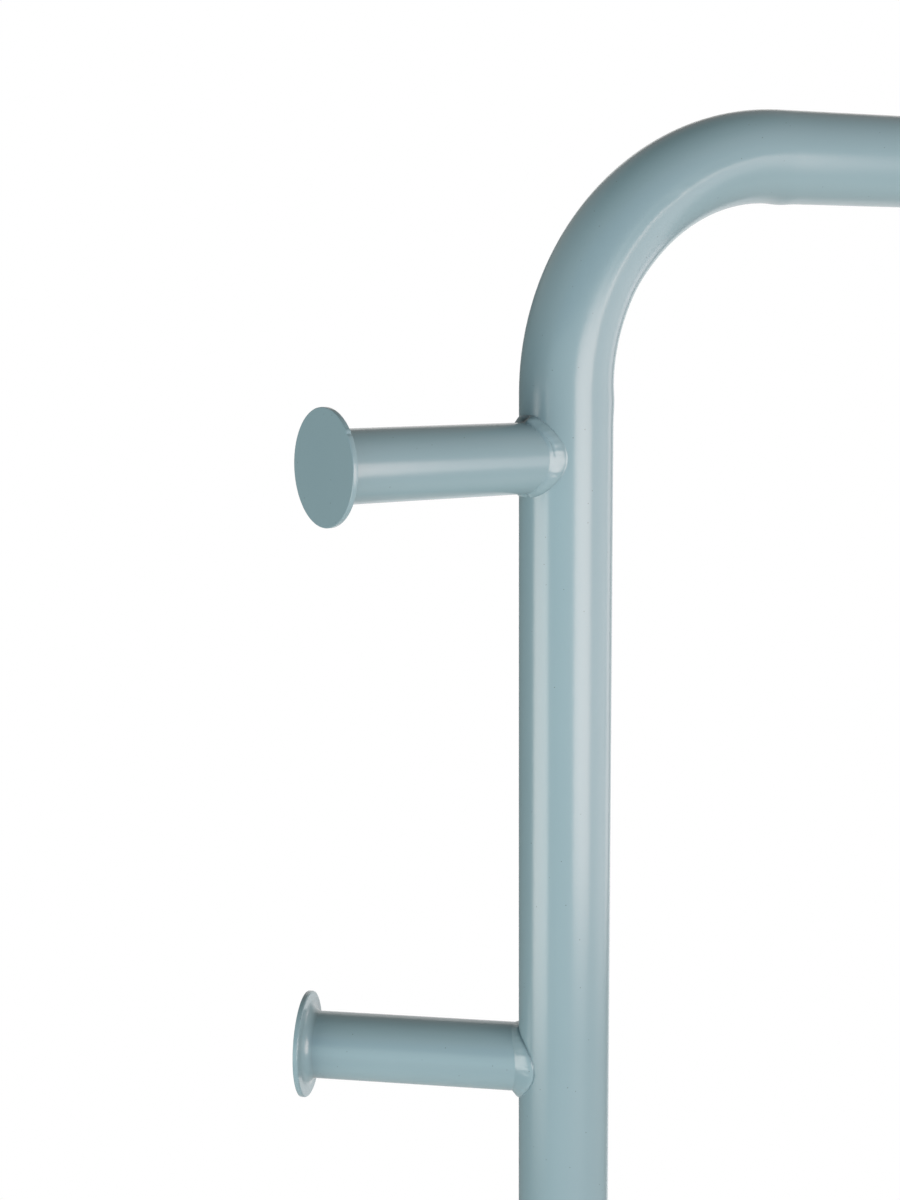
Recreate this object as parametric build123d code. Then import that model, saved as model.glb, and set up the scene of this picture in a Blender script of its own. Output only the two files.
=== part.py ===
from build123d import *
import math
import os

# Valet stand in bent and welded steel tube, powder coated in one colour. Millimetres, +Z up, front towards
# -Y. The origin is on the floor, midway between the uprights. A one-piece hoop of bent tube carries four pegs
# and a trouser rail, all welded on. It is bolted down to a closed floor loop of the same tube, which carries
# the rods of a low shoe rack and stands on four screw-in glides.

# Driving dimensions
TUBE_D = 25.4
TUBE_WALL = 1.5
BEND_R = 63.5                # centreline radius of every bend, 2.5 tube diameters
HOOP_WIDTH = 450.0           # outside to outside of the uprights
HOOP_HEIGHT = 1150.0         # floor to the top of the hoop
LOOP_DEPTH = 360.0           # outside to outside of the floor loop, front to back

SMALL_TUBE_D = 19.0          # pegs and trouser rail
SMALL_TUBE_WALL = 1.2
TROUSER_RAIL_Z = 760.0

PEG_REACH = 75.0             # upright's axis to the outer face of the peg's disc
UPPER_PEG_DROP = 81.0        # top rail's axis to the upper peg's axis
PEG_PITCH = 170.0            # upper to lower peg
UPPER_PEG_TURN = 10.0        # degrees towards the front, from the plane of the hoop
LOWER_PEG_TURN = -33.0       # degrees, towards the back
DISC_D = 30.0
DISC_THICKNESS = 1.5
DISC_EDGE_R = 0.4

WELD_LEG = 2.2               # size of the weld bead on the uprights
DISC_WELD_LEG = 2.0
ROD_WELD_LEG = 2.0

ROD_D = 8.0
ROD_COUNT = 6
ROD_PITCH = 38.0

PAD_D = 24.0                 # glide
PAD_HEIGHT = 4.9
PAD_CHAMFER = 1.5
PAD_EDGE_R = 0.6
PAD_GAP = 0.3                # left over the pad when the glide is screwed home
STUD_D = 6.0
STUD_BOTTOM_Z = 1.0
STUD_TOP_Z = 20.0
STUD_CHAMFER = 0.6
GLIDE_X = 120.0
NUT_BODY_D = 9.0             # rivet nut that takes the glide
NUT_FLANGE_D = 13.0
NUT_FLANGE_HEIGHT = 0.8
NUT_LENGTH = 12.0
STUD_CLEARANCE = 0.05        # radial

BOLT_D = 8.0                 # one M8 bolt holds each upright down on the floor loop
BOLT_LENGTH = 25.0
BOLT_HEAD_D = 14.0
BOLT_HEAD_HEIGHT = 4.4
HEX_SOCKET_AF = 5.0
HEX_SOCKET_DEPTH = 2.4
BOLT_HOLE_D = 9.0
WASHER_D = 16.0
WASHER_SEAT = 6.5            # floor loop's axis up to the washer's flat face
ACCESS_HOLE_D = 17.0         # the bolt's head goes in through it, and a plug closes it
PLUG_FLANGE_D = 20.0
PLUG_FLANGE_HEIGHT = 1.2
PLUG_STEM_LENGTH = 5.0
INSERT_LENGTH = 20.0         # threaded slug in the foot of each upright
INSERT_GAP = 1.0
SADDLE_TRIM = 2.0            # the coped foot's feather edges are cut off this far above the loop's axis

# Worked out from the above
TUBE_R = TUBE_D / 2
BORE_R = TUBE_R - TUBE_WALL
SMALL_R = SMALL_TUBE_D / 2
SMALL_BORE_R = SMALL_R - SMALL_TUBE_WALL
UPRIGHT_X = HOOP_WIDTH / 2 - TUBE_R
LOOP_Y = LOOP_DEPTH / 2 - TUBE_R
LOOP_Z = PAD_HEIGHT + PAD_GAP + NUT_FLANGE_HEIGHT + TUBE_R
TOP_RAIL_Z = HOOP_HEIGHT - TUBE_R
UPPER_PEG_Z = TOP_RAIL_Z - UPPER_PEG_DROP
LOWER_PEG_Z = UPPER_PEG_Z - PEG_PITCH
SIDES = {"left": -1, "right": 1}
CORNERS = {
    "front_left": (-1, -1),
    "front_right": (1, -1),
    "back_left": (-1, 1),
    "back_right": (1, 1),
}


def save(shape, name):
    """Writes one node's STEP file."""
    shape.label = name
    export_step(shape, os.path.join("parts", name + ".step"))


def swept(path, radius):
    """A solid round bar along a path of straight runs and arcs."""
    return sweep((path ^ 0) * Circle(radius), path=path)


def rod_along_x(radius, length):
    """A round bar that lies along X, centred on the origin."""
    return Rot(0, 90, 0) * Cylinder(radius, length)


def hoop_path():
    """The hoop's centreline: up one side, across the top and down the other."""
    return FilletPolyline(
        (-UPRIGHT_X, 0, LOOP_Z + SADDLE_TRIM),
        (-UPRIGHT_X, 0, TOP_RAIL_Z),
        (UPRIGHT_X, 0, TOP_RAIL_Z),
        (UPRIGHT_X, 0, LOOP_Z + SADDLE_TRIM),
        radius=BEND_R,
    )


def loop_bar(radius):
    """The closed floor loop as a solid bar: two runners, two cross runs and four bends."""
    right_half = FilletPolyline(
        (0, -LOOP_Y, LOOP_Z),
        (UPRIGHT_X, -LOOP_Y, LOOP_Z),
        (UPRIGHT_X, LOOP_Y, LOOP_Z),
        (0, LOOP_Y, LOOP_Z),
        radius=BEND_R,
    )
    right = swept(right_half, radius)
    return right + mirror(right, about=Plane.YZ)


def hoop_tube(loop_outside):
    """Inverted U of tube, its feet coped to sit on the floor loop like saddles."""
    path = hoop_path()
    return swept(path, TUBE_R) - swept(path, BORE_R) - loop_outside


def floor_loop(loop_outside):
    """The floor loop's tube, drilled for the two bolts, their access holes and the four rivet nuts."""
    loop = loop_outside - loop_bar(BORE_R)
    for side in SIDES.values():
        loop -= Pos(side * UPRIGHT_X, 0, LOOP_Z + TUBE_R) * Cylinder(BOLT_HOLE_D / 2, TUBE_R)
        loop -= Pos(side * UPRIGHT_X, 0, LOOP_Z - TUBE_R) * Cylinder(ACCESS_HOLE_D / 2, TUBE_R)
    for x_sign, y_sign in CORNERS.values():
        loop -= Pos(x_sign * GLIDE_X, y_sign * LOOP_Y, LOOP_Z - TUBE_R) * Cylinder(NUT_BODY_D / 2, TUBE_R)
    return loop


def trouser_rail():
    """Straight tube between the uprights, both ends coped to them."""
    rail = rod_along_x(SMALL_R, 2 * UPRIGHT_X) - rod_along_x(SMALL_BORE_R, 2 * UPRIGHT_X)
    for side in SIDES.values():
        rail -= Pos(side * UPRIGHT_X, 0, 0) * Cylinder(TUBE_R, 2 * TUBE_D)
    return Pos(0, 0, TROUSER_RAIL_Z) * rail


def bead_on_tube(run_r, branch_r, leg):
    """Weld bead where a branch along +X meets a run along Z: what a chamfer adds to their corner."""
    stub = 4 * run_r
    joined = Cylinder(run_r, stub) + Pos(stub / 2, 0, 0) * rod_along_x(branch_r, stub)
    corner = [
        edge
        for edge in joined.edges()
        if edge.bounding_box().min.X > 0 and edge.bounding_box().max.X < run_r + leg
    ]
    return chamfer(corner, leg) - joined


def peg_place(side, z, turn):
    """Carries a peg drawn along +X from an upright's axis to its place on the stand."""
    out_of_upright = 180 + turn if side < 0 else -turn
    return Pos(side * UPRIGHT_X, 0, z) * Rot(0, 0, out_of_upright)


def peg_tube():
    """A peg drawn along +X from the upright's axis, its root coped to the upright."""
    length = PEG_REACH - DISC_THICKNESS
    tube = rod_along_x(SMALL_R, length) - rod_along_x(SMALL_BORE_R, length)
    return Pos(length / 2, 0, 0) * tube - Cylinder(TUBE_R, 2 * TUBE_D)


def peg_disc():
    """End plate of a peg, with its edges broken."""
    disc = Pos(PEG_REACH - DISC_THICKNESS / 2, 0, 0) * rod_along_x(DISC_D / 2, DISC_THICKNESS)
    rims = disc.edges().filter_by(GeomType.CIRCLE)
    return fillet(rims, DISC_EDGE_R)


def peg_disc_weld():
    """Bead in the corner between the peg's tube and the inner face of its disc."""
    flare = Rot(0, 90, 0) * Cone(SMALL_R, SMALL_R + DISC_WELD_LEG, DISC_WELD_LEG)
    ring = flare - rod_along_x(SMALL_R, 2 * DISC_WELD_LEG)
    return Pos(PEG_REACH - DISC_THICKNESS - DISC_WELD_LEG / 2, 0, 0) * ring


def rack_rod(y, loop_outside):
    """One rod of the shoe rack, its ends coped to the runners."""
    return Pos(0, y, LOOP_Z) * rod_along_x(ROD_D / 2, 2 * UPRIGHT_X) - loop_outside


def rack_rod_welds(side, rod_ys):
    """The beads that hold the rods' ends to one runner of the floor loop."""
    bead = Rot(90, 0, 0) * bead_on_tube(TUBE_R, ROD_D / 2, ROD_WELD_LEG)
    inwards = 180 if side > 0 else 0
    return [Pos(side * UPRIGHT_X, y, LOOP_Z) * Rot(0, 0, inwards) * bead for y in rod_ys]


def leg_insert(side):
    """Threaded steel slug, pressed into the foot of an upright."""
    bottom = LOOP_Z + TUBE_R + INSERT_GAP
    place = Pos(side * UPRIGHT_X, 0, bottom + INSERT_LENGTH / 2)
    return place * (Cylinder(BORE_R, INSERT_LENGTH) - Cylinder(BOLT_D / 2, INSERT_LENGTH))


def leg_bolt(side):
    """Button-head bolt, up through the runner's top wall into the slug."""
    seat = LOOP_Z + WASHER_SEAT
    shank = Pos(0, 0, seat + BOLT_LENGTH / 2) * Cylinder(BOLT_D / 2, BOLT_LENGTH)
    head = Pos(0, 0, seat - BOLT_HEAD_HEIGHT / 2) * Cylinder(BOLT_HEAD_D / 2, BOLT_HEAD_HEIGHT)
    head = fillet(head.edges().sort_by(Axis.Z)[0], BOLT_HEAD_HEIGHT / 2)
    hexagon = RegularPolygon(HEX_SOCKET_AF / math.sqrt(3), 6)
    socket = Pos(0, 0, seat - BOLT_HEAD_HEIGHT) * extrude(hexagon, HEX_SOCKET_DEPTH)
    return Pos(side * UPRIGHT_X, 0, 0) * (shank + head - socket)


def saddle_washer(side):
    """Washer with a flat under-face for the bolt's head and a round back against the runner's bore."""
    round_back = Pos(0, 0, LOOP_Z) * Rot(90, 0, 0) * Cylinder(BORE_R, 2 * WASHER_D)
    blank = Pos(0, 0, LOOP_Z + WASHER_SEAT + BORE_R / 2) * Cylinder(WASHER_D / 2, BORE_R)
    hole = Pos(0, 0, LOOP_Z) * Cylinder(BOLT_HOLE_D / 2, 4 * TUBE_R)
    return Pos(side * UPRIGHT_X, 0, 0) * ((blank & round_back) - hole)


def access_plug(side):
    """Plastic plug that closes the hole under an upright's bolt."""
    flange_z = LOOP_Z - TUBE_R - PLUG_FLANGE_HEIGHT / 2
    flange = Pos(0, 0, flange_z) * Cylinder(PLUG_FLANGE_D / 2, PLUG_FLANGE_HEIGHT)
    stem = Pos(0, 0, LOOP_Z - TUBE_R + PLUG_STEM_LENGTH / 2) * Cylinder(ACCESS_HOLE_D / 2, PLUG_STEM_LENGTH)
    return Pos(side * UPRIGHT_X, 0, 0) * (flange + stem)


def rivet_nut(corner):
    """Threaded insert for a glide, set in the underside of the floor loop."""
    x_sign, y_sign = corner
    under = LOOP_Z - TUBE_R
    flange = Pos(0, 0, under - NUT_FLANGE_HEIGHT / 2) * Cylinder(NUT_FLANGE_D / 2, NUT_FLANGE_HEIGHT)
    body = Pos(0, 0, under + NUT_LENGTH / 2) * Cylinder(NUT_BODY_D / 2, NUT_LENGTH)
    bore = Pos(0, 0, under) * Cylinder(STUD_D / 2 + STUD_CLEARANCE, 3 * NUT_LENGTH)
    return Pos(x_sign * GLIDE_X, y_sign * LOOP_Y, 0) * (flange + body - bore)


def glide_pad(corner):
    """Plastic foot of a glide, moulded around the head of its stud."""
    x_sign, y_sign = corner
    pad = Pos(0, 0, PAD_HEIGHT / 2) * Cylinder(PAD_D / 2, PAD_HEIGHT)
    pad = chamfer(pad.edges().sort_by(Axis.Z)[-1], PAD_CHAMFER)
    pad = fillet(pad.edges().sort_by(Axis.Z)[0], PAD_EDGE_R)
    recess = Pos(0, 0, STUD_BOTTOM_Z + PAD_HEIGHT / 2) * Cylinder(STUD_D / 2, PAD_HEIGHT)
    return Pos(x_sign * GLIDE_X, y_sign * LOOP_Y, 0) * (pad - recess)


def glide_stud(corner):
    """The glide's screw, drawn plain: its thread runs in the rivet nut."""
    x_sign, y_sign = corner
    length = STUD_TOP_Z - STUD_BOTTOM_Z
    stud = Pos(0, 0, STUD_BOTTOM_Z + length / 2) * Cylinder(STUD_D / 2, length)
    stud = chamfer(stud.edges().sort_by(Axis.Z)[-1], STUD_CHAMFER)
    return Pos(x_sign * GLIDE_X, y_sign * LOOP_Y, 0) * stud


def main():
    os.makedirs("parts", exist_ok=True)

    loop_outside = loop_bar(TUBE_R)
    save(hoop_tube(loop_outside), "hoop_tube")
    save(floor_loop(loop_outside), "floor_loop")
    save(trouser_rail(), "trouser_rail")

    bead = bead_on_tube(TUBE_R, SMALL_R, WELD_LEG)
    pegs = {"upper": (UPPER_PEG_Z, UPPER_PEG_TURN), "lower": (LOWER_PEG_Z, LOWER_PEG_TURN)}
    for side_name, side in SIDES.items():
        for level, (z, turn) in pegs.items():
            place = peg_place(side, z, turn)
            peg = f"{side_name}_{level}_peg"
            save(place * peg_tube(), peg + "_tube")
            save(place * peg_disc(), peg + "_disc")
            save(place * bead, peg + "_root_weld")
            save(place * peg_disc_weld(), peg + "_disc_weld")
        rail_end = Pos(side * UPRIGHT_X, 0, TROUSER_RAIL_Z) * Rot(0, 0, 180 if side > 0 else 0)
        save(rail_end * bead, f"trouser_rail_{side_name}_weld")

    rod_ys = [(n - (ROD_COUNT - 1) / 2) * ROD_PITCH for n in range(ROD_COUNT)]
    for n, y in enumerate(rod_ys, start=1):
        save(rack_rod(y, loop_outside), f"shoe_rack_rod_{n}")
    for side_name, side in SIDES.items():
        save(Compound(children=rack_rod_welds(side, rod_ys)), f"shoe_rack_{side_name}_welds")
        save(leg_insert(side), f"{side_name}_leg_insert")
        save(leg_bolt(side), f"{side_name}_leg_bolt")
        save(saddle_washer(side), f"{side_name}_saddle_washer")
        save(access_plug(side), f"{side_name}_access_plug")

    for name, corner in CORNERS.items():
        save(rivet_nut(corner), name + "_rivet_nut")
        save(glide_pad(corner), name + "_glide_pad")
        save(glide_stud(corner), name + "_glide_stud")


main()
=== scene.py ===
import bmesh
import bpy
import math
from mathutils import Matrix, Vector, noise


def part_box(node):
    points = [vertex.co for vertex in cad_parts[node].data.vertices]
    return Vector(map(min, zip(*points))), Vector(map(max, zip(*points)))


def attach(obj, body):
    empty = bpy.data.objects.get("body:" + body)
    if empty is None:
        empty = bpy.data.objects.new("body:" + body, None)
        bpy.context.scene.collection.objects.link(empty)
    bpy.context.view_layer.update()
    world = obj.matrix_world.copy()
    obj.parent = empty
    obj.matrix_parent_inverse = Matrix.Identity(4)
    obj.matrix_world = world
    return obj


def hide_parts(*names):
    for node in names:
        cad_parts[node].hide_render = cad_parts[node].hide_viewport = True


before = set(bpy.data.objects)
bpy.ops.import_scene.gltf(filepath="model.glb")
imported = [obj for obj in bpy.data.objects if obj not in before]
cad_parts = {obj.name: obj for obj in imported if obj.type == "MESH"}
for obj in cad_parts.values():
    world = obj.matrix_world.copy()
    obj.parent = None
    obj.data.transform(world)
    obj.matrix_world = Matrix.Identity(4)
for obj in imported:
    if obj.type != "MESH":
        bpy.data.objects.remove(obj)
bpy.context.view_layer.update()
fullTurn = 2 * math.pi
mm = 0.001
print("valet stand:", len(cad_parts), "nodes loaded")


# ---- finishes

class Wire:  # one output of a node, with the arithmetic that the finishes use
    def __init__(self, finish, socket):
        self.finish = finish
        self.socket = socket

    def maths(self, operation, *values):
        made = self.finish.node("ShaderNodeMath", {"operation": operation}, dict(enumerate(values)))
        return made["Value"]

    def __add__(self, other):
        return self.maths("ADD", self, other)

    def __radd__(self, other):
        return self.maths("ADD", other, self)

    def __sub__(self, other):
        return self.maths("SUBTRACT", self, other)

    def __rsub__(self, other):
        return self.maths("SUBTRACT", other, self)

    def __mul__(self, other):
        return self.maths("MULTIPLY", self, other)

    def under(self, limit):
        return self.maths("LESS_THAN", self, limit)


class Finish:  # a node tree being filled: a material's or the world's
    def __init__(self, owner):
        self.owner = owner
        owner.use_nodes = True
        self.tree = owner.node_tree
        self.tree.nodes.clear()

    def node(self, kind, settings, sockets):
        made = self.tree.nodes.new(kind)
        for name, value in settings.items():
            if name == "stops":
                self.setStops(made.color_ramp, value)
            else:
                setattr(made, name, value)
        for name, value in sockets.items():
            socket = made.inputs[name] if isinstance(name, int) else self.openInput(made, name)
            if isinstance(value, Wire):
                self.tree.links.new(value.socket, socket)
            else:
                socket.default_value = value
        return {out.name: Wire(self, out) for out in made.outputs if out.enabled}

    def openInput(self, made, name):
        return next(socket for socket in made.inputs if socket.enabled and socket.name == name)

    def setStops(self, ramp, stops):
        while len(ramp.elements) < len(stops):
            ramp.elements.new(1.0)
        for element, (place, level) in zip(ramp.elements, stops):
            element.position = place
            element.color = (*level, 1.0)

    def noise(self, where, size, detail, rough=0.5):  # size is the pattern's own, in metres
        return self.node("ShaderNodeTexNoise", {}, {
            "Vector": where, "Scale": 1 / size, "Detail": detail, "Roughness": rough})["Fac"]

    def mix(self, share, first, second):
        return self.node("ShaderNodeMix", {"data_type": "RGBA"}, {
            "Factor": share, "A": (*first, 1.0) if isinstance(first, tuple) else first,
            "B": (*second, 1.0) if isinstance(second, tuple) else second})["Result"]

    def bump(self, height, depth, under=None):
        sockets = {"Height": height, "Distance": depth, "Strength": 1.0}
        if under is not None:
            sockets["Normal"] = under
        return self.node("ShaderNodeBump", {}, sockets)["Normal"]

    def surface(self, **sockets):
        named = {name.replace("_", " "): value for name, value in sockets.items()}
        bsdf = self.node("ShaderNodeBsdfPrincipled", {}, named)
        self.node("ShaderNodeOutputMaterial", {}, {"Surface": bsdf["BSDF"]})
        return self.owner


def newFinish(name):
    return Finish(bpy.data.materials.new(name))


def objectPlace(finish):
    return finish.node("ShaderNodeTexCoord", {}, {})["Object"]


powderCoat = {
    "colour": (0.183, 0.284, 0.313),
    "paler": (0.199, 0.300, 0.329),   # where the coat is a little thinner
    "driftSize": 0.045,
    "roughness": 0.235,
    "roughnessDrift": 0.05,
    "peelSize": 0.0016,
    "peelDepth": 0.000012,
    "grainSize": 0.00035,
    "grainDepth": 0.0000025,
    "pitSpacing": 0.0035,
    "pitRadius": 0.00016,
    # painted shade in tiny pits of the coat, drawn only as darker specks
    "pitShadeColour": (0.075, 0.105, 0.115),
    "pitShadeStrength": 0.6,
    # painted shade along the weld toes, and flux dirt with painted shade in the craters
    "fluxAndShadeColour": (0.055, 0.058, 0.056),
    "fluxAndShadeStrength": 0.8,
}


def makePowderCoat(name, toe=False):
    spec = powderCoat
    finish = newFinish(name)
    where = objectPlace(finish)
    drift = finish.noise(where, spec["driftSize"], detail=3.0)
    colour = finish.mix(drift, spec["colour"], spec["paler"])
    # tiny pits, drawn only as darker specks: a painted shade inside them
    cell = finish.node("ShaderNodeTexVoronoi", {"feature": "F1"}, {
        "Vector": where, "Scale": 1 / spec["pitSpacing"], "Randomness": 1.0})
    pit = cell["Distance"].under(spec["pitRadius"] / spec["pitSpacing"])
    colour = finish.mix(pit * spec["pitShadeStrength"], colour, spec["pitShadeColour"])
    if toe:  # darker where a bead meets the tube, a painted shade along the toes, and in the crater where it starts, flux dirt with painted shade
        edge = finish.node("ShaderNodeAttribute", {"attribute_name": "toe"}, {})["Fac"]
        colour = finish.mix(edge * spec["fluxAndShadeStrength"], colour, spec["fluxAndShadeColour"])
    rough = spec["roughness"] + (drift - 0.5) * spec["roughnessDrift"]
    peel = finish.bump(finish.noise(where, spec["peelSize"], detail=1.0), spec["peelDepth"])
    speck = finish.noise(where, spec["grainSize"], detail=2.0)
    grain = finish.bump(speck, spec["grainDepth"], under=peel)
    return finish.surface(Base_Color=colour, Roughness=rough, IOR=1.5, Normal=grain)


zincPlate = {
    "colour": (0.42, 0.43, 0.44),
    "darker": (0.30, 0.31, 0.33),
    "cloudSize": 0.004,
    "roughness": 0.34,
    "roughnessDrift": 0.2,
    "grainSize": 0.0004,
    "grainDepth": 0.000006,
}


def makeZincPlate():
    spec = zincPlate
    finish = newFinish("zincPlate")
    where = objectPlace(finish)
    cloud = finish.noise(where, spec["cloudSize"], detail=4.0, rough=0.6)
    colour = finish.mix(cloud, spec["darker"], spec["colour"])
    rough = spec["roughness"] + (cloud - 0.5) * spec["roughnessDrift"]
    normal = finish.bump(finish.noise(where, spec["grainSize"], detail=3.0), spec["grainDepth"])
    return finish.surface(Base_Color=colour, Metallic=1.0, Roughness=rough, Normal=normal)


glidePlastic = {"colour": (0.012, 0.012, 0.013), "scuffed": (0.030, 0.030, 0.031), "roughness": 0.46}
plugPlastic = {"colour": (0.105, 0.135, 0.142), "scuffed": (0.130, 0.160, 0.168), "roughness": 0.40}
bothPlastics = {"wearSize": 0.006, "roughnessDrift": 0.16, "grainSize": 0.00045, "grainDepth": 0.00002}


def makePlastic(name, spec):
    finish = newFinish(name)
    where = objectPlace(finish)
    wear = finish.noise(where, bothPlastics["wearSize"], detail=5.0, rough=0.65)
    colour = finish.mix(wear, spec["colour"], spec["scuffed"])
    rough = spec["roughness"] + (wear - 0.5) * bothPlastics["roughnessDrift"]
    speck = finish.noise(where, bothPlastics["grainSize"], detail=2.0)
    spark = finish.bump(speck, bothPlastics["grainDepth"])
    return finish.surface(Base_Color=colour, Roughness=rough, IOR=1.49, Normal=spark)


coatFinish = makePowderCoat("powderCoat")
beadFinish = makePowderCoat("powderCoatOnBeads", toe=True)
zincFinish = makeZincPlate()
glideFinish = makePlastic("glidePlastic", glidePlastic)
plugFinish = makePlastic("plugPlastic", plugPlastic)
finishOf = {
    "powder_coat": coatFinish,
    "zinc_plated_steel": zincFinish,
    "glide_plastic": glideFinish,
    "plug_plastic": plugFinish,
}
print("finishes made")


# ---- mesh helpers

def edgesBetween(verts):
    kept = set(verts)
    found = [edge for v in verts for edge in v.link_edges if edge.other_vert(v) in kept]
    return list(dict.fromkeys(found))  # each edge once


def newVerts(made):
    return [part for part in made if isinstance(part, bmesh.types.BMVert)]


def vertsOf(edges):
    return {v for edge in edges for v in edge.verts}


def addMirrored(bm):  # the right half, or the left, from the other
    bmesh.ops.mirror(bm, geom=bm.verts[:] + bm.edges[:] + bm.faces[:], axis="X", merge_dist=1e-5)


def ring(bm, centre, across, radius, segments):
    turn = Vector(across).to_track_quat("Z", "Y").to_matrix().to_4x4()
    place = Matrix.Translation(centre) @ turn
    made = bmesh.ops.create_circle(bm, segments=segments, radius=radius, matrix=place)
    return edgesBetween(made["verts"])


def pull(bm, rim, move, steps=1):  # extrudes an open rim straight along
    for _ in range(steps):
        verts = newVerts(bmesh.ops.extrude_edge_only(bm, edges=rim)["geom"])
        bmesh.ops.translate(bm, vec=Vector(move) / steps, verts=verts)
        rim = edgesBetween(verts)
    return rim


def swing(bm, rim, centre, axis, angle, steps):  # carries an open rim round a bend
    made = bmesh.ops.spin(bm, geom=rim, cent=centre, axis=axis, angle=angle, steps=steps,
                          use_merge=False)
    return edgesBetween(newVerts(made["geom_last"]))


def turned(profile, steps):  # a solid turned about X; the profile's points are (x, radius)
    bm = bmesh.new()
    verts = [bm.verts.new((x, 0, radius)) for x, radius in profile]
    edges = [bm.edges.new(pair) for pair in zip(verts, verts[1:])]
    if profile[0][1] > 0:  # a ring section closes on itself, any other starts and ends on the axis
        edges.append(bm.edges.new((verts[-1], verts[0])))
    bmesh.ops.spin(bm, geom=verts + edges, cent=(0, 0, 0), axis=(1, 0, 0), angle=fullTurn, steps=steps,
                   use_merge=True)
    bmesh.ops.remove_doubles(bm, verts=bm.verts, dist=1e-7)
    return bm


def arc(centre, radius, start, end, steps):
    # points of a profile; angles in degrees from +X towards the rim
    spread = [math.radians(start + (end - start) * k / steps) for k in range(steps + 1)]
    return [(centre[0] + radius * math.cos(a), centre[1] + radius * math.sin(a)) for a in spread]


def bell(distance, width):
    return math.exp(-(distance / width) ** 2)


def noiseRound(turn, waves, depth):  # unevenness round an axis, with no seam in it
    return noise.noise(Vector((waves * math.cos(turn), waves * math.sin(turn), depth)))


def placeAt(origin, along, up):  # carries local X to `along` and local Z to `up`
    x, z = Vector(along).normalized(), Vector(up).normalized()
    return Matrix.Translation(origin) @ Matrix((x, z.cross(x), z)).transposed().to_4x4()


def finishPiece(bm, name, nodes, slot, body="frame", place=None, wall=0.0, sharp=38, finish=None):
    if place is not None:
        bmesh.ops.transform(bm, matrix=place, verts=bm.verts)
    bmesh.ops.remove_doubles(bm, verts=bm.verts, dist=1e-7)
    bmesh.ops.recalc_face_normals(bm, faces=bm.faces)
    for face in bm.faces:
        face.smooth = True
    for edge in bm.edges:
        edge.smooth = len(edge.link_faces) == 2 and edge.calc_face_angle() < math.radians(sharp)
    mesh = bpy.data.meshes.new(name)
    bm.to_mesh(mesh)
    bm.free()
    mesh.materials.append(finish or finishOf[slot])
    piece = bpy.data.objects.new(name, mesh)
    bpy.context.scene.collection.objects.link(piece)
    if wall:
        thicken = piece.modifiers.new("wall", "SOLIDIFY")
        thicken.thickness = wall
        thicken.offset = -1.0
    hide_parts(*nodes)
    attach(piece, body)


# ---- hoop

hoopLow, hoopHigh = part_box("hoop_tube")
tube = {
    "radius": (hoopHigh.y - hoopLow.y) / 2,
    "wall": 1.5 * mm,
    "bendRadius": 63.5 * mm,
    "round": 96,              # segments round the tube
    "bendSteps": 48,
    "runSteps": 8,
    "fineRun": 18 * mm,       # stretch next to a bend where the bending die's mark lies
    "fineSteps": 15,
    "footCut": hoopLow.z,     # the coped feet are trimmed at this height
    "dieMark": 0.30 * mm,     # ridge on the inside of the tube where a bend ends
    "dieMarkWidth": 3.2 * mm,
    "flatSpot": 0.22 * mm,    # shallow flat on the inside of the bend
    "flatSpotAt": 31,         # degrees from the upright
    "flatSpotWidth": 7,
    "squashInside": 0.68 * mm,  # how far bending draws in the section, on the bend's inside and outside
    "squashOutside": 0.18 * mm,
    "squashFade": 0.6,        # under 1 keeps the section drawn in over most of the bend
    "squashAcross": 0.3,      # share of it by which the section grows wider across the bend
}
uprightX = hoopHigh.x - tube["radius"]
topRailZ = hoopHigh.z - tube["radius"]
loopLow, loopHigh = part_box("floor_loop")
loopZ = (loopLow.z + loopHigh.z) / 2
loopY = loopHigh.y - tube["radius"]


def markBend(bm):  # ovals the left bend and leaves the die's marks on its inner side
    radius, bend = tube["radius"], tube["bendRadius"]
    centre = Vector((-uprightX + bend, 0, topRailZ - bend))
    for v in bm.verts:
        fromCentre = Vector((v.co.x - centre.x, 0, v.co.z - centre.z))
        turn = math.degrees(math.atan2(max(fromCentre.z, 0), max(-fromCentre.x, 1e-9)))
        if fromCentre.z < 0:
            pastEnd, inward, offset = -fromCentre.z, Vector((1, 0, 0)), v.co.x + uprightX
        elif fromCentre.x > 0:
            pastEnd, inward, offset = fromCentre.x, Vector((0, 0, -1)), topRailZ - v.co.z
        else:
            pastEnd, inward, offset = 0.0, -fromCentre.normalized(), bend - fromCentre.length
        inside = max(0.0, offset / radius) ** 2
        ridge = tube["dieMark"] * bell(pastEnd - tube["dieMarkWidth"], tube["dieMarkWidth"]) * inside
        if pastEnd == 0.0:
            flat = tube["flatSpot"] * bell(turn - tube["flatSpotAt"], tube["flatSpotWidth"]) * inside
            squash = tube["squashInside"] if offset > 0 else tube["squashOutside"]
            squash *= math.sin(math.radians(2 * turn)) ** tube["squashFade"]
            v.co -= inward * (flat + squash * offset / radius)
            v.co.y *= 1 + tube["squashAcross"] * squash / radius
        v.co += inward * ridge


def copeFeet(bm, foot):
    for v in vertsOf(foot):
        v.co.z = max(tube["footCut"], loopZ + abs(v.co.y))


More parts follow.
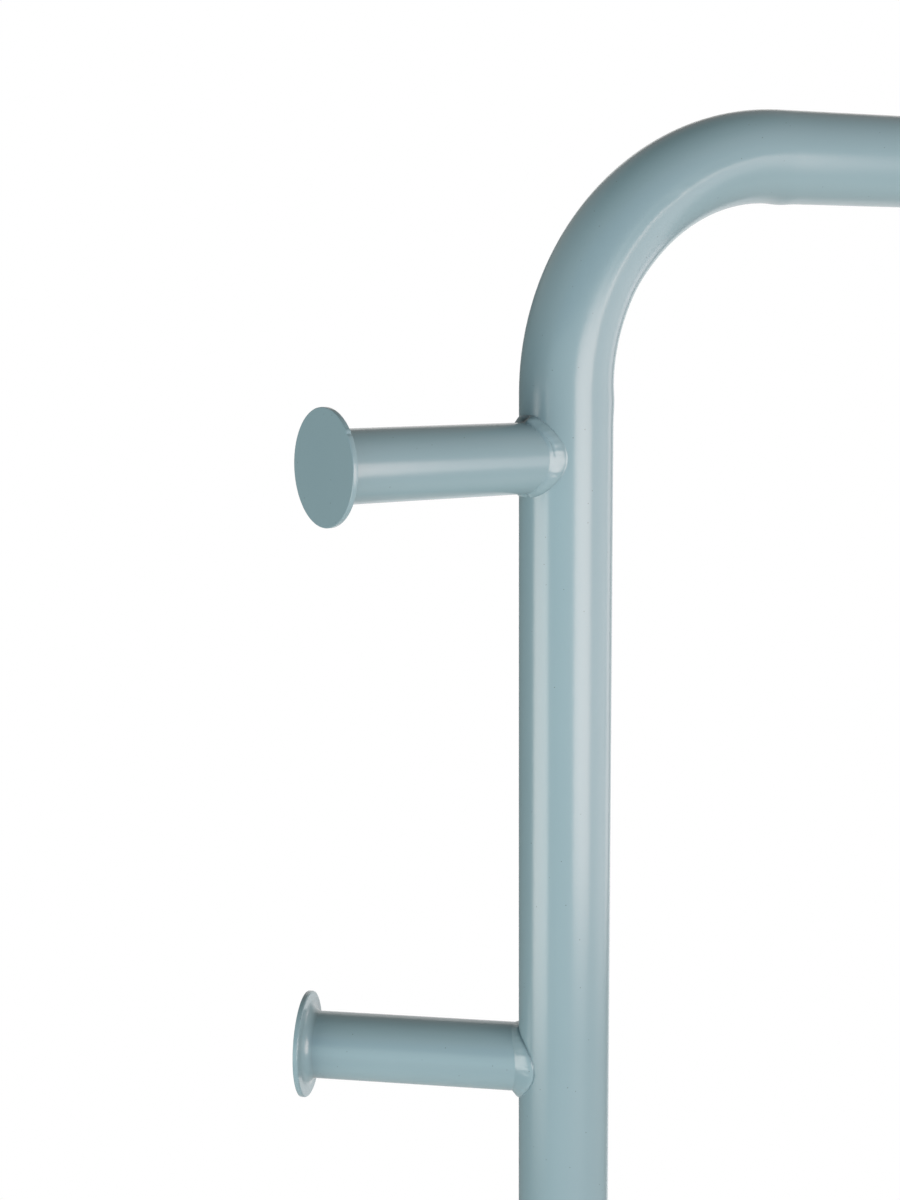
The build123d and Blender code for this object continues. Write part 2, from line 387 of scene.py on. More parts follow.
def buildHoop():
    bm = bmesh.new()
    radius, bend = tube["radius"], tube["bendRadius"]
    start = loopZ + 1.4 * radius  # clear of the coped foot
    foot = ring(bm, (-uprightX, 0, start), (0, 0, 1), radius, tube["round"])
    rim = pull(bm, foot, (0, 0, topRailZ - bend - tube["fineRun"] - start), tube["runSteps"])
    rim = pull(bm, rim, (0, 0, tube["fineRun"]), tube["fineSteps"])
    centre = (-uprightX + bend, 0, topRailZ - bend)
    rim = swing(bm, rim, centre, (0, 1, 0), math.pi / 2, tube["bendSteps"])
    rim = pull(bm, rim, (tube["fineRun"], 0, 0), tube["fineSteps"])
    pull(bm, rim, (uprightX - bend - tube["fineRun"], 0, 0), 3)
    markBend(bm)
    foot = [edge for edge in bm.edges if edge.is_boundary and edge.verts[0].co.z < start + mm]
    copeFeet(bm, pull(bm, foot, (0, 0, -mm)))
    addMirrored(bm)
    finishPiece(bm, "hoopTube", ["hoop_tube"], "powder_coat", wall=tube["wall"])


buildHoop()
print("hoop bent")


# ---- floor loop

def buildFloorLoop():
    bm = bmesh.new()
    radius, bend = tube["radius"], tube["bendRadius"]
    straightX, straightY = uprightX - bend, loopY - bend
    rim = ring(bm, (0, -loopY, loopZ), (1, 0, 0), radius, tube["round"])
    rim = pull(bm, rim, (straightX, 0, 0), 3)
    rim = swing(bm, rim, (straightX, -straightY, loopZ), (0, 0, 1), math.pi / 2, tube["bendSteps"])
    rim = pull(bm, rim, (0, 2 * straightY, 0), 6)
    rim = swing(bm, rim, (straightX, straightY, loopZ), (0, 0, 1), math.pi / 2, tube["bendSteps"])
    pull(bm, rim, (-straightX, 0, 0), 3)
    addMirrored(bm)
    finishPiece(bm, "floorLoop", ["floor_loop"], "powder_coat", wall=tube["wall"])


buildFloorLoop()
print("floor loop bent")


# ---- weld beads

bead = {
    "leg": 2.0 * mm,          # nominal size, from which the reaches below are stretched
    "toeSpan": 0.16,          # share of the face's width over which it runs out on to the walls
    "seam": 0.45 * mm,        # crease between two passes of the welding rod
    "seamAt": 0.32,           # share of the face's width, from the branch
    "seamTurn": 0.42,         # the middle of the crease, in radians up from the side
    "seamSpan": 0.26,
    "seamSlant": 0.1,
    "seamWidth": 0.05,
    "joinTurn": -0.50,        # where one pass ends against the next, in radians from the side
    "joinSpan": 0.07,
    "joinSlant": 0.12,
    "flatSpan": 0.42,         # the bead is flattened where it passes the side
    "lumps": 0.10,            # share by which the bead swells and shrinks
    "lumpCount": 10,
    "ripple": 0.03 * mm,
    "ripplePitch": 1.7 * mm,
    "grain": 0.08 * mm,       # fine unevenness of the face
    "grainRound": 400,        # its steps per metre round the branch
    "grainAcross": 1.5,       # its steps over the face's width
    "startLump": 0.36 * mm,   # where the two half runs start and end, on top and below
    "startLumpAt": 2.2,       # crater spans to one side of the crater
    "startRough": 1.6,        # share of the lump
    "startRoughSpan": 2.6,    # crater spans
    "startRoughRound": 900,
    "startRoughAcross": 2.2,
    "crater": 1.1 * mm,
    "craterSpan": 0.14,       # radians
    "craterFluxAndShadeSpan": 1.3,   # crater spans, over which the crater is darkened: flux dirt with painted shade
    # darkness of the painted shade along each toe
    "toePaintedShade": 0.05,
    "toePaintedShadePower": 8,       # the higher, the narrower the painted line of shade along each toe
    "sunk": 0.02 * mm,        # how far the toes lie under the tubes' faces
    "bury": 0.5 * mm,
    "buryAt": 0.85,           # share of the leg at which the section turns down into the tubes
    "inset": 0.2 * mm,        # of a branch into its bead and its end plate, so that no gap shows
    "facePoints": 18,
    "steps": 240,
}


def section(leg, inner, facePoints, hollow):
    # a fillet's section in (x, radius): toe on the branch, face, toe on the run, buried in both tubes
    face = []
    for k in range(facePoints + 1):
        t = k / facePoints
        turn = t * math.pi / 2
        flat = (leg * (1 - t), inner + leg * t)
        cove = (leg - leg * math.sin(turn), inner + leg - leg * math.cos(turn))
        face.append(tuple(a + (b - a) * hollow for a, b in zip(flat, cove)))
    bury, far = bead["bury"], bead["buryAt"] * leg
    return face + [(-bury, inner + far), (-bury, inner - bury), (far, inner - bury)]


def around(sizes, turn):  # a size that changes smoothly round a branch: front, top, back, bottom
    front, top, back, bottom = sizes
    side = front if math.cos(turn) > 0 else back
    cap = top if math.sin(turn) > 0 else bottom
    return side * math.cos(turn) ** 2 + cap * math.sin(turn) ** 2


def faceHeight(turn, along, radius, reach, seed):
    # how far the face stands out, at a share of its width and a turn round the branch
    across = math.sin(math.pi * along ** (math.log(0.5) / math.log(reach["peakAt"])))
    length = turn * radius
    ripple = bead["ripple"] * math.sin(length / bead["ripplePitch"] * fullTurn)
    place = Vector((length * bead["grainRound"], along * bead["grainAcross"], seed + 4))
    grain = bead["grain"] * noise.noise(place)
    height = (around(reach["bulge"], turn) + ripple + grain) * across
    for side, facing in ((0, 1), (math.pi, -1)):
        off = math.remainder(turn - side, fullTurn)
        height -= reach["flat"] * bell(off - facing * reach["flatAt"], bead["flatSpan"]) * across
        fromJoin = off - facing * bead["joinTurn"] + bead["joinSlant"] * along
        height -= reach["join"] * bell(fromJoin, bead["joinSpan"]) * across
        fromSeam = off - facing * bead["seamTurn"]
        seam = reach["seams"] * bead["seam"] * bell(fromSeam, bead["seamSpan"])
        height -= seam * bell(along - bead["seamAt"] + bead["seamSlant"] * fromSeam, bead["seamWidth"])
    span = bead["craterSpan"]
    place = Vector((length * bead["startRoughRound"], along * bead["startRoughAcross"], seed))
    rough = bead["startRough"] * bead["startLump"] * noise.noise(place)
    for top in (math.pi / 2, -math.pi / 2):
        off = math.remainder(turn - top, fullTurn)
        start = rough * bell(off, bead["startRoughSpan"] * span)
        start += bead["startLump"] * bell(off + bead["startLumpAt"] * span, span)
        start -= bead["crater"] * bell(off, span)
        height += reach["starts"] * start * across
    return height


def stepUp(value, span):  # 0 at zero, 1 from span on, smooth between
    t = min(1.0, max(0.0, value / span))
    return t * t * (3 - 2 * t)


def saddleBead(runRadius, branchRadius, reach, seed, steps):
    # turned as if the run were flat, then wrapped on its round surface; the run lies along local Z
    bm = turned(section(bead["leg"], branchRadius, bead["facePoints"], hollow=0.0), steps)
    toe = bm.verts.layers.float.new("toe")
    waves, sunk = bead["lumpCount"] / fullTurn, bead["sunk"]
    for v in bm.verts:
        radius = math.hypot(v.co.y, v.co.z)
        turn = math.atan2(v.co.z, v.co.y)
        depth, out = v.co.x, radius - branchRadius
        swell = 1 + bead["lumps"] * noiseRound(turn, waves, seed)
        onBranch, onRun = (swell * around(reach[k], turn) for k in ("onBranch", "onRun"))
        depth *= onBranch / bead["leg"] if depth > 0 else 1
        out *= onRun / bead["leg"] if out > 0 else 1
        if depth > -1e-9 and out > -1e-9:
            along = min(1.0, max(0.0, out / onRun))  # 0 at the branch's toe, 1 at the run's
            proud = faceHeight(turn, along, branchRadius, reach, seed)
            span = math.hypot(onBranch, onRun)
            face = Vector((depth + proud * onRun / span, out + proud * onBranch / span))
            if along < 0.5:
                wall = Vector((onBranch * (1 - 2 * along), -sunk))
            else:
                wall = Vector((-sunk, onRun * (2 * along - 1)))
            depth, out = wall.lerp(face, stepUp(min(along, 1 - along), bead["toeSpan"]))
            # the toe attribute: a painted shade along both toes, and flux dirt with painted shade in the
            # crater
            off = math.remainder(turn - math.pi / 2, fullTurn)
            crater = bell(off, bead["craterFluxAndShadeSpan"] * bead["craterSpan"])
            crater *= reach["starts"] * math.sqrt(math.sin(math.pi * along))
            v[toe] = max(bead["toePaintedShade"] * abs(2 * along - 1) ** bead["toePaintedShadePower"], crater)
        radius = branchRadius + out
        y, z = radius * math.cos(turn), radius * math.sin(turn)
        v.co = (depth + math.sqrt(max(runRadius ** 2 - y ** 2, 0.0)), y, z)
    return bm


# ---- pegs

peg = {
    "radius": 9.5 * mm,
    "wall": 1.2 * mm,
    "round": 80,
    "discRadius": 15.0 * mm,
    "discThickness": 1.5 * mm,
    "discEdge": 0.45 * mm,      # rounding of the inner edge, on the peg's side
    "discOuterEdge": 0.22 * mm,
    "discSteps": 288,
    "rimWave": 0.012 * mm,      # unevenness of the cut rim
    "rimWaveRound": 40,         # its steps per radian
    "rimWaveAcross": 900,       # its steps per metre
    "coveLeg": 2.9 * mm,        # the hollow bead behind the disc
    "coveLumps": 0.12,
    "coveWaves": 1.6,           # its lumps' steps per radian
    # darkness of the painted shade along the cove's toes
    "coveToeShade": 0.12,
    "coveToeShadePower": 6,
    "covePoints": 12,
    "coveSteps": 96,
    "nickAt": 0.64,             # radians up the rim from the front, on one disc only
    "nickSpan": 0.03,
    "nickDepth": 0.30 * mm,
    "nickLipAt": 0.06,          # past the nick, where the rim stands out
    "nickLip": 0.4,             # share of the nick's depth
    "chips": 0.05 * mm,
    "chipsAt": 0.3,             # radians below the nick
    "chipsSpan": 0.22,
    # onBranch, onRun and bulge: how far each root bead reaches along the peg and out over the upright,
    # and how far its face stands out, at the front, top, back and bottom
    # peakAt: share of the face's width, from the peg, where it stands out most
    # flat, flatAt: how much flatter the bead is where it passes the side, and radians up from there
    # seams, starts: share of the crease and of the rough start; join: depth where one pass ends
    "beads": {
        "upper": {"onBranch": (4.4 * mm, 2.2 * mm, 3.6 * mm, 1.7 * mm),
                  "onRun": (1.0 * mm, 2.1 * mm, 1.2 * mm, 1.2 * mm),
                  "bulge": (0.62 * mm, 0.36 * mm, 0.50 * mm, 0.20 * mm), "peakAt": 0.5,
                  "flat": 0.52 * mm, "flatAt": 0.0, "seams": 1.0, "join": 0.0, "starts": 1.0},
        "lower": {"onBranch": (4.4 * mm, 2.0 * mm, 3.4 * mm, 1.8 * mm),
                  "onRun": (1.1 * mm, 0.3 * mm, 1.3 * mm, 2.1 * mm),
                  "bulge": (0.95 * mm, 0.05 * mm, 0.40 * mm, 0.0), "peakAt": 0.66,
                  "flat": 0.28 * mm, "flatAt": 0.12, "seams": 0.0, "join": 0.16 * mm, "starts": 0.12},
    },
}
pegNames = [(side, level) for side in ("left", "right") for level in ("upper", "lower")]


def boxMiddle(node):
    low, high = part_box(node)
    return (low + high) / 2


def pegPlace(side, level):
    # from the upright's axis out along the peg, and the reach of the disc's outer face
    disc = boxMiddle(f"{side}_{level}_peg_disc")
    root = Vector((math.copysign(uprightX, disc.x), 0, disc.z))
    reach = (disc - root).length + peg["discThickness"] / 2
    return placeAt(root, disc - root, (0, 0, 1)), reach


def pegTube(reach):
    bm = bmesh.new()
    start = tube["radius"] + 2 * mm  # clear of the upright
    end = reach - peg["discThickness"] + bead["inset"]
    root = ring(bm, (start, 0, 0), (1, 0, 0), peg["radius"], peg["round"])
    pull(bm, root, (end - start, 0, 0), 4)
    root = [edge for edge in bm.edges if edge.is_boundary and edge.verts[0].co.x < start + mm]
    for v in vertsOf(pull(bm, root, (-mm, 0, 0))):
        v.co.x = math.sqrt(tube["radius"] ** 2 - v.co.y ** 2) - bead["inset"]
    return bm


def pegDisc(reach, nicked, seed):
    inner, rim = reach - peg["discThickness"], peg["discRadius"]
    edge, outerEdge = peg["discEdge"], peg["discOuterEdge"]
    # the flat faces carry a few rings more, to keep their shading even
    profile = [(inner, 0), (inner, 0.5 * rim), (inner, rim - 1.6 * edge)]
    profile += arc((inner + edge, rim - edge), edge, 180, 90, 5)
    profile += arc((reach - outerEdge, rim - outerEdge), outerEdge, 90, 0, 4)
    profile += [(reach, rim - 2 * outerEdge), (reach, 0.8 * rim), (reach, 0.4 * rim), (reach, 0)]
    bm = turned(profile, peg["discSteps"])
    for v in bm.verts:
        radius = math.hypot(v.co.y, v.co.z)
        if radius < rim - 1.2 * edge:
            continue
        turn = math.atan2(v.co.z, v.co.y)
        wave = noiseRound(turn, peg["rimWaveRound"], seed + v.co.x * peg["rimWaveAcross"])
        change = peg["rimWave"] * wave
        if nicked:  # a small step, and chips along the rim below it
            off = turn - peg["nickAt"]
            lip = peg["nickLip"] * bell(off - peg["nickLipAt"], peg["nickSpan"])
            change += peg["chips"] * wave * bell(off + peg["chipsAt"], peg["chipsSpan"])
            change -= peg["nickDepth"] * (bell(off, peg["nickSpan"]) - lip)
        v.co.yz *= 1 + change / radius
    return bm


def discBead(reach, seed):
    inner = reach - peg["discThickness"]
    bm = turned(section(peg["coveLeg"], peg["radius"], peg["covePoints"], hollow=1.0), peg["coveSteps"])
    toe = bm.verts.layers.float.new("toe")
    for v in bm.verts:
        radius = math.hypot(v.co.y, v.co.z)
        turn = math.atan2(v.co.z, v.co.y)
        out = radius - peg["radius"]
        if v.co.x > 0 and out > -1e-9:
            along = math.atan2(out, v.co.x) / (math.pi / 2)
            # painted shade along the cove's two toes
            v[toe] = peg["coveToeShade"] * abs(2 * along - 1) ** peg["coveToeShadePower"]
        share = 1 + peg["coveLumps"] * noiseRound(turn, peg["coveWaves"], seed)
        grown = (peg["radius"] + out * share) / radius
        v.co = (inner - v.co.x * share, v.co.y * grown, v.co.z * grown)
    return bm


for number, (side, level) in enumerate(pegNames):
    place, reach = pegPlace(side, level)
    if side == "right":  # local Y points to the front on both sides
        place = place @ Matrix.Scale(-1, 4, (0, 1, 0))
    node = f"{side}_{level}_peg"
    name = f"{side}{level.capitalize()}Peg"
    seed = 3.7 * number
    finishPiece(pegTube(reach), name + "Tube", [node + "_tube"], "powder_coat",
                place=place, wall=peg["wall"])
    disc = pegDisc(reach, number == 0, seed)
    finishPiece(disc, name + "Disc", [node + "_disc"], "powder_coat", place=place)
    root = saddleBead(tube["radius"], peg["radius"], peg["beads"][level], seed, bead["steps"])
    finishPiece(root, name + "RootBead", [node + "_root_weld"], "powder_coat",
                place=place, finish=beadFinish)
    finishPiece(discBead(reach, seed + 50), name + "DiscBead", [node + "_disc_weld"], "powder_coat",
                place=place, finish=beadFinish)
print("pegs welded on")


# ---- trouser rail and shoe rack

def copedBar(radius, runRadius, halfSpan, steps, runAlong):
    # a bar along X whose ends fit the round sides of two runs that lie along the axis named runAlong
    bm = bmesh.new()
    rim = ring(bm, (0, 0, 0), (1, 0, 0), radius, steps)
    end = pull(bm, pull(bm, rim, (halfSpan - 1.5 * runRadius, 0, 0), 3), (mm, 0, 0))
    for v in vertsOf(end):
        off = v.co.y if runAlong == "z" else v.co.z
        v.co.x = halfSpan - math.sqrt(runRadius ** 2 - off ** 2) + bead["inset"]
    addMirrored(bm)
    return bm


rail = {
    "z": boxMiddle("trouser_rail").z,
    "bead": {"onBranch": (3.6 * mm, 2.2 * mm, 3.6 * mm, 2.2 * mm),
             "onRun": (1.3 * mm, 2.0 * mm, 1.3 * mm, 2.0 * mm), "bulge": (0.34 * mm,) * 4,
             "peakAt": 0.5, "flat": 0.22 * mm, "flatAt": 0.0, "seams": 1.0, "join": 0.0, "starts": 1.0},
}
rack = {
    "rods": 6,
    "radius": 4.0 * mm,
    "round": 40,
    "bead": {"onBranch": (1.9 * mm,) * 4, "onRun": (1.8 * mm,) * 4, "bulge": (0.25 * mm,) * 4,
             "peakAt": 0.5, "flat": 0.10 * mm, "flatAt": 0.0, "seams": 0.5, "join": 0.0, "starts": 0.6},
    "beadSteps": 72,
}

bar = copedBar(peg["radius"], tube["radius"], uprightX, peg["round"], "z")
finishPiece(bar, "trouserRail", ["trouser_rail"], "powder_coat",
            place=Matrix.Translation((0, 0, rail["z"])), wall=peg["wall"])
for side, sign in (("left", -1), ("right", 1)):
    place = placeAt((sign * uprightX, 0, rail["z"]), (-sign, 0, 0), (0, 0, 1))
    end = saddleBead(tube["radius"], peg["radius"], rail["bead"], 20 + sign, bead["steps"])
    finishPiece(end, f"trouserRail{side.capitalize()}Bead", [f"trouser_rail_{side}_weld"], "powder_coat",
                place=place, finish=beadFinish)

for number in range(1, rack["rods"] + 1):
    node = f"shoe_rack_rod_{number}"
    rod = copedBar(rack["radius"], tube["radius"], uprightX, rack["round"], "y")
    ends = [edge for edge in rod.edges if edge.is_boundary]
    bmesh.ops.holes_fill(rod, edges=ends, sides=rack["round"])
    finishPiece(rod, f"shoeRackRod{number}", [node], "powder_coat",
                place=Matrix.Translation(boxMiddle(node)))

for side, sign in (("left", -1), ("right", 1)):
    allBeads = bmesh.new()
    for number in range(1, rack["rods"] + 1):
        y = boxMiddle(f"shoe_rack_rod_{number}").y
        seed = 31.3 * number * sign
        one = saddleBead(tube["radius"], rack["radius"], rack["bead"], seed, rack["beadSteps"])
        bmesh.ops.transform(one, matrix=placeAt((sign * uprightX, y, loopZ), (-sign, 0, 0), (0, 1, 0)),
                            verts=one.verts)
        spare = bpy.data.meshes.new("spare")
        one.to_mesh(spare)
        one.free()
        allBeads.from_mesh(spare)
        bpy.data.meshes.remove(spare)
    name = f"shoeRack{side.capitalize()}Beads"
    finishPiece(allBeads, name, [f"shoe_rack_{side}_welds"], "powder_coat", finish=beadFinish)
print("rail and rack welded on")


# ---- glides, rivet nuts and plugs

glide = {
    "padRadius": 12.0 * mm,
    "padHeight": 4.9 * mm,
    "padChamfer": 1.5 * mm,
    "padEdge": 0.6 * mm,
    "grips": 18,
    "gripSteps": 8,
    "gripDepth": 0.22 * mm,
    "studRadius": 3.0 * mm,
    "studBottom": 1.0 * mm,
    "studTop": 20.0 * mm,
    "threadPitch": 1.0 * mm,
    "threadDepth": 0.58 * mm,
    # shares of the pitch and of the depth
    "threadShape": ((0.0, 0), (0.16, 0), (0.44, 1), (0.62, 1), (1.0, 0)),
    "threadRunOut": 0.8 * mm,
    "threadSteps": 32,
    "nutClearance": 0.1 * mm,
    "nutRadius": 4.5 * mm,
    "nutFlange": 6.5 * mm,
    "nutFlangeHeight": 0.8 * mm,
    "nutFlangeEdge": 0.3 * mm,
    "nutCrimp": ((1.6 * mm, 0), (2.2 * mm, 1.1 * mm), (3.4 * mm, 1.1 * mm), (4.0 * mm, 0)),
    "nutLength": 12.0 * mm,
    "nutSteps": 64,
    "plugRadius": 10.0 * mm,
    "plugEdge": 0.7 * mm,
    "plugCrown": 0.1 * mm,    # how far the cap's middle stands above its rim
    "plugStem": 8.4 * mm,
    "plugDraft": 0.3 * mm,
    "plugHeight": 1.2 * mm,
    "plugLength": 5.0 * mm,
    "plugSteps": 72,
}
upright = Matrix.Rotation(-math.pi / 2, 4, "Y")  # stands a piece turned about X on end


def glidePad():
    rim, height, chamfer, edge = (glide[k] for k in ("padRadius", "padHeight", "padChamfer", "padEdge"))
    profile = [(0, 0), (0, 0.5 * rim), (0, rim - 2 * edge)]
    profile += arc((edge, rim - edge), edge, 180, 90, 6)
    profile += arc((height - chamfer - edge, rim - edge), edge, 90, 45, 4)
    profile += arc((height - edge, rim - chamfer - 0.4 * edge), edge, 45, 0, 4)
    profile += [(height, glide["studRadius"]), (glide["studBottom"], glide["studRadius"])]
    profile += [(glide["studBottom"], 0)]
    bm = turned(profile, glide["grips"] * glide["gripSteps"])
    for v in bm.verts:
        radius = math.hypot(v.co.y, v.co.z)
        if radius > rim - edge and edge < v.co.x < height - chamfer:
            wave = 0.5 - 0.5 * math.cos(glide["grips"] * math.atan2(v.co.z, v.co.y))
            v.co.yz *= 1 - glide["gripDepth"] * wave ** 3 / radius
    return bm


def threadedStud():
    # a strip of grid is wound round X into the thread, and its two ends are drawn flat and capped
    radius, pitch, depth = glide["studRadius"], glide["threadPitch"], glide["threadDepth"]
    bottom, top = glide["studBottom"], glide["studTop"]
    turns = int((top - bottom) / pitch) + 1
    lanes = len(glide["threadShape"]) - 1
    bm = bmesh.new()
    bmesh.ops.create_grid(bm, x_segments=turns * glide["threadSteps"], y_segments=lanes, size=0.5)
    for v in bm.verts:
        wound = (v.co.x + 0.5) * turns
        rise, sunk = glide["threadShape"][round((v.co.y + 0.5) * lanes)]
        height = bottom + (wound - 1 + rise) * pitch
        taper = min(1.0, max(0.0, (top - height) / glide["threadRunOut"]))
        out = min(radius - depth * sunk, radius - depth + depth * taper)
        angle = wound * fullTurn
        v.co = (min(max(height, bottom), top), out * math.cos(angle), out * math.sin(angle))
    bmesh.ops.remove_doubles(bm, verts=bm.verts, dist=2e-6)
    bmesh.ops.dissolve_degenerate(bm, edges=bm.edges, dist=1e-6)
    bmesh.ops.holes_fill(bm, edges=[edge for edge in bm.edges if edge.is_boundary], sides=0)
    return bm


def rivetNut():
    bore, body = glide["studRadius"] + glide["nutClearance"], glide["nutRadius"]
    flange, edge = glide["nutFlange"], glide["nutFlangeEdge"]
    height, length = glide["nutFlangeHeight"], glide["nutLength"]
    profile = [(-height, bore), (-height, flange - edge)]
    profile += arc((-height + edge, flange - edge), edge, 180, 90, 4)
    profile += [(0, flange), (0, body)]
    profile += [(x, body + proud) for x, proud in glide["nutCrimp"]]
    profile += [(length, body), (length, bore)]
    return turned(profile, glide["nutSteps"])


def accessPlug():
    rim, edge, height = glide["plugRadius"], glide["plugEdge"], glide["plugHeight"]
    stem, length = glide["plugStem"], glide["plugLength"]
    profile = [(-height, 0), (-height, 0.45 * rim), (-0.96 * height, 0.75 * rim)]
    profile += arc((-height + edge + glide["plugCrown"], rim - edge), edge, 170, 90, 5)
    profile += [(0, rim), (0, stem), (length, stem - glide["plugDraft"]), (length, 0)]
    return turned(profile, glide["plugSteps"])


corners = [f"{depth}_{side}" for depth in ("front", "back") for side in ("left", "right")]
under = loopLow.z
for corner in corners:
    depth, side = corner.split("_")
    name = depth + side.capitalize()
    middle = boxMiddle(corner + "_glide_pad")
    onFloor = Matrix.Translation((middle.x, middle.y, 0)) @ upright
    atTube = Matrix.Translation((middle.x, middle.y, under)) @ upright
    finishPiece(glidePad(), name + "GlidePad", [corner + "_glide_pad"], "glide_plastic",
                corner + "_glide", onFloor)
    finishPiece(threadedStud(), name + "GlideStud", [corner + "_glide_stud"], "zinc_plated_steel",
                corner + "_glide", onFloor, sharp=25)
    finishPiece(rivetNut(), name + "RivetNut", [corner + "_rivet_nut"], "zinc_plated_steel",
                place=atTube)
for side, sign in (("left", -1), ("right", 1)):
    atTube = Matrix.Translation((sign * uprightX, 0, under)) @ upright
    finishPiece(accessPlug(), side + "AccessPlug", [side + "_access_plug"], "plug_plastic", place=atTube)
print("glides, nuts and plugs fitted")

# the leg bolts, washers and threaded slugs stay as they come, inside the tubes
for side in ("left", "right"):
    for piece in ("leg_insert", "leg_bolt", "saddle_washer"):
        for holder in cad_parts[f"{side}_{piece}"].material_slots:
            holder.material = zincFinish


# ---- floor, light and camera

studio = {
    "floorRadius": 1.5,
    "floorGap": 0.2 * mm,     # keeps the floor clear of the glides' flat undersides
    "floorColour": (0.80, 0.80, 0.79),
    "floorRoughness": 0.7,
    "floorGlow": 0.25,
    "floorFade": (0.45, 0.98),  # shares of the radius between which it thins out
    "focus": Vector((-uprightX, 0, 1.0)),    # what the light boxes face: the left upright's top half
    # turn goes from the front towards the right, as seen from above, and lift is above the horizon
    "boxes": {
        "leftBox": {"away": 1.0, "turn": -90, "lift": -12.8, "wide": 40, "high": 28.4, "level": 6.2,
                    "tint": (1.0, 0.92, 0.87)},
        "frontBox": {"away": 0.6, "turn": 16.2, "lift": -4.5, "wide": 42.5, "high": 39, "level": 6.5,
                     "tint": (1.0, 0.79, 0.73)},
        "rightBox": {"away": 4.0, "turn": 77.3, "lift": -6.6, "wide": 72, "high": 29.4, "level": 2.1,
                     "tint": (1.0, 0.89, 0.90)},
        "backBox": {"away": 4.0, "turn": 146, "lift": -8, "wide": 42, "high": 72, "level": 1.0,
                    "tint": (1.0, 1.0, 1.0)},
    },
    # how bright the room is, from straight down to straight up, on the side at roomTurn and elsewhere
    "roomTurn": -22,
    "roomHalfWidth": 50,
    "roomEdge": 12,
    "roomLevel": 1.42,
    "room": [(0.10, (0.67, 0.59, 0.59)), (0.14, (0.50, 0.45, 0.46)), (0.31, (0.50, 0.45, 0.46)),
             (0.35, (0.77, 0.94, 0.98)), (0.61, (0.77, 0.94, 0.98)), (0.65, (0.09, 0.14, 0.27)),
             (0.89, (0.09, 0.14, 0.27)), (0.93, (0.13, 0.15, 0.09))],
    "roomBehind": [(0.10, (0.67, 0.59, 0.59)), (0.14, (0.20, 0.18, 0.18)), (0.31, (0.12, 0.11, 0.11)),
                   (0.35, (0.08, 0.08, 0.08)), (0.61, (0.08, 0.08, 0.08)), (0.65, (0.27, 0.24, 0.22)),
                   (0.89, (0.27, 0.24, 0.22)), (0.93, (0.11, 0.13, 0.09))],
}


def lightBox(name, spec):
    turn, lift = math.radians(spec["turn"]), math.radians(spec["lift"])
    away = Vector((math.sin(turn) * math.cos(lift), -math.cos(turn) * math.cos(lift), math.sin(lift)))
    lamp = bpy.data.lights.new(name, "AREA")
    lamp.shape = "RECTANGLE"
    lamp.size = 2 * spec["away"] * math.tan(math.radians(spec["wide"] / 2))
    lamp.size_y = 2 * spec["away"] * math.tan(math.radians(spec["high"] / 2))
    lamp.color = spec["tint"]
    lamp.energy = spec["level"] * math.pi * lamp.size * lamp.size_y  # level is the radiance of its face
    holder = bpy.data.objects.new(name, lamp)
    holder.location = studio["focus"] + away * spec["away"]
    holder.rotation_euler = away.to_track_quat("Z", "Y").to_euler()
    holder.visible_camera = False
    bpy.context.scene.collection.objects.link(holder)


def lightRoom():
    world = bpy.data.worlds.new("studio")
    bpy.context.scene.world = world
    room = Finish(world)
    direction = room.node("ShaderNodeTexCoord", {}, {})["Generated"]
    upDown = room.node("ShaderNodeSeparateXYZ", {}, {"Vector": direction})["Z"]
    turn = math.radians(studio["roomTurn"])
    facing = (math.sin(turn), -math.cos(turn), 0.0)
    inFront = room.node("ShaderNodeVectorMath", {"operation": "DOT_PRODUCT"}, {
        0: direction, 1: facing})["Value"]
    edges = (studio["roomHalfWidth"] + k * studio["roomEdge"] for k in (1, -1))
    outer, inner = (math.cos(math.radians(edge)) for edge in edges)
    share = room.node("ShaderNodeMapRange", {"interpolation_type": "SMOOTHSTEP"}, {
        "Value": inFront, "From Min": outer, "From Max": inner, "To Min": 0.0, "To Max": 1.0})["Result"]
    height = upDown * 0.5 + 0.5
    front = room.node("ShaderNodeValToRGB", {"stops": studio["room"]}, {"Fac": height})["Color"]
    behind = room.node("ShaderNodeValToRGB", {"stops": studio["roomBehind"]}, {"Fac": height})["Color"]
    dim = room.node("ShaderNodeBackground", {}, {
        "Color": room.mix(share, behind, front), "Strength": studio["roomLevel"]})["Background"]
    white = room.node("ShaderNodeBackground", {}, {
        "Color": (1.0, 1.0, 1.0, 1.0), "Strength": 1.0})["Background"]
    seen = room.node("ShaderNodeLightPath", {}, {})["Is Camera Ray"]
    both = room.node("ShaderNodeMixShader", {}, {0: seen, 1: dim, 2: white})["Shader"]
    room.node("ShaderNodeOutputWorld", {}, {"Surface": both})


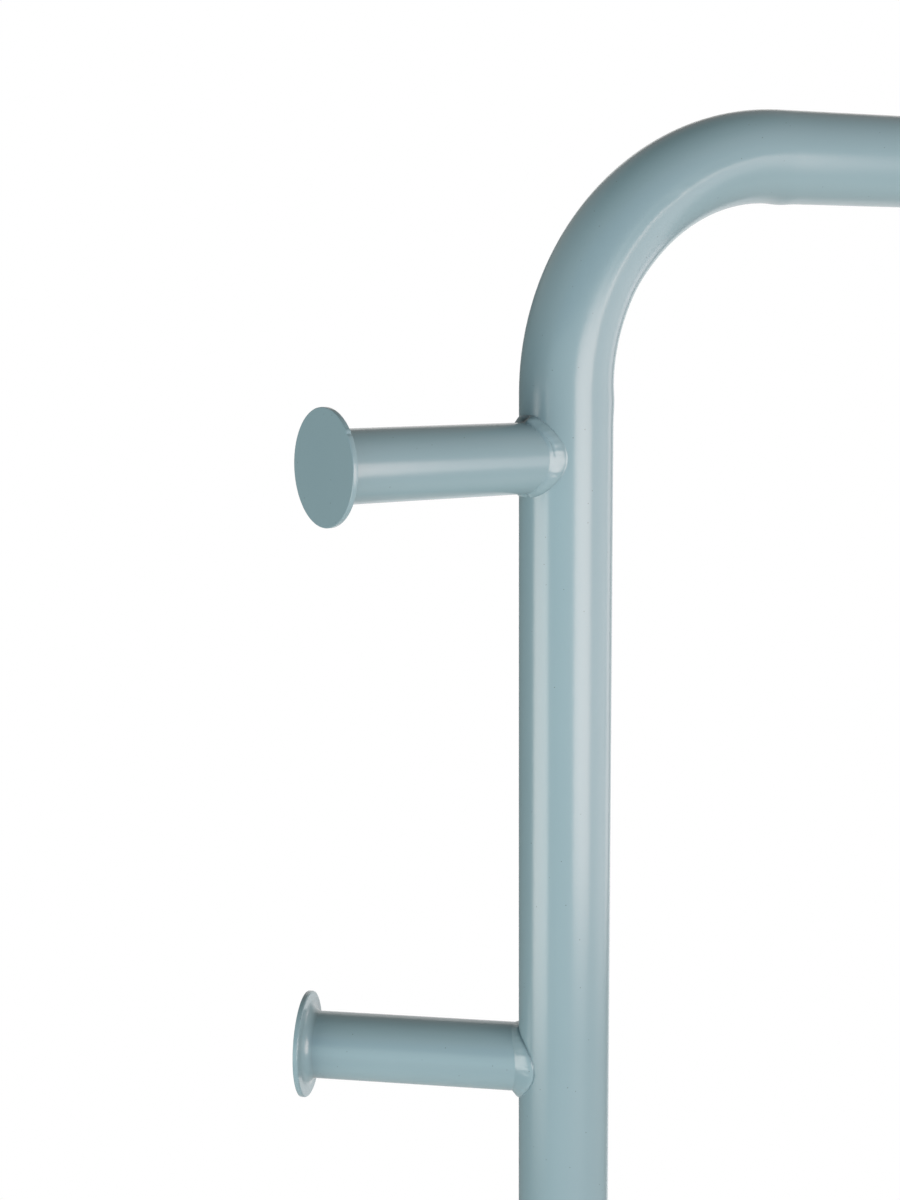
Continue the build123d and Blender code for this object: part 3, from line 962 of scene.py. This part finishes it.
def layFloor():
    bm = bmesh.new()
    below = Matrix.Translation((0, 0, -studio["floorGap"]))
    bmesh.ops.create_circle(bm, cap_ends=True, segments=128, radius=studio["floorRadius"], matrix=below)
    mesh = bpy.data.meshes.new("studioFloor")
    bm.to_mesh(mesh)
    bm.free()
    finish = newFinish("studioFloor")
    where = objectPlace(finish)
    reach = finish.node("ShaderNodeVectorMath", {"operation": "LENGTH"}, {0: where})["Value"]
    start, end = (share * studio["floorRadius"] for share in studio["floorFade"])
    fade = finish.node("ShaderNodeMapRange", {"interpolation_type": "SMOOTHSTEP"}, {
        "Value": reach, "From Min": start, "From Max": end, "To Min": 1.0, "To Max": 0.0})["Result"]
    fromBelow = finish.node("ShaderNodeNewGeometry", {}, {})["Backfacing"]
    mesh.materials.append(finish.surface(
        Base_Color=(*studio["floorColour"], 1.0), Roughness=studio["floorRoughness"],
        Alpha=fade * (1.0 - fromBelow),
        Emission_Color=(1.0, 1.0, 1.0, 1.0), Emission_Strength=studio["floorGlow"]))
    floor = bpy.data.objects.new("studioFloor", mesh)
    bpy.context.scene.collection.objects.link(floor)


viewPoint = {
    "fromUpright": Vector((-0.2244, -0.4422)),
    "abovePeg": 0.0307,
    "turn": 23.27,
    "tilt": -8.01,
    "roll": -0.29,
    "focalLength": 55.03,
    "sensorWidth": 36.0,
}


def setCamera():
    lens = bpy.data.cameras.new("camera")
    lens.lens = viewPoint["focalLength"]
    lens.sensor_width = viewPoint["sensorWidth"]
    lens.clip_start = 0.01
    camera = bpy.data.objects.new("camera", lens)
    beside = viewPoint["fromUpright"]
    pegZ = boxMiddle("left_upper_peg_disc").z
    turn = Matrix.Rotation(math.radians(-viewPoint["turn"]), 4, "Z")
    tilt = Matrix.Rotation(math.radians(90 + viewPoint["tilt"]), 4, "X")
    roll = Matrix.Rotation(math.radians(viewPoint["roll"]), 4, "Z")
    spot = Matrix.Translation((-uprightX + beside.x, beside.y, pegZ + viewPoint["abovePeg"]))
    camera.matrix_world = spot @ turn @ tilt @ roll
    bpy.context.scene.collection.objects.link(camera)
    bpy.context.scene.camera = camera


for name, spec in studio["boxes"].items():
    lightBox(name, spec)
lightRoom()
layFloor()
setCamera()
bpy.context.scene.view_settings.view_transform = "Standard"
print("studio set")
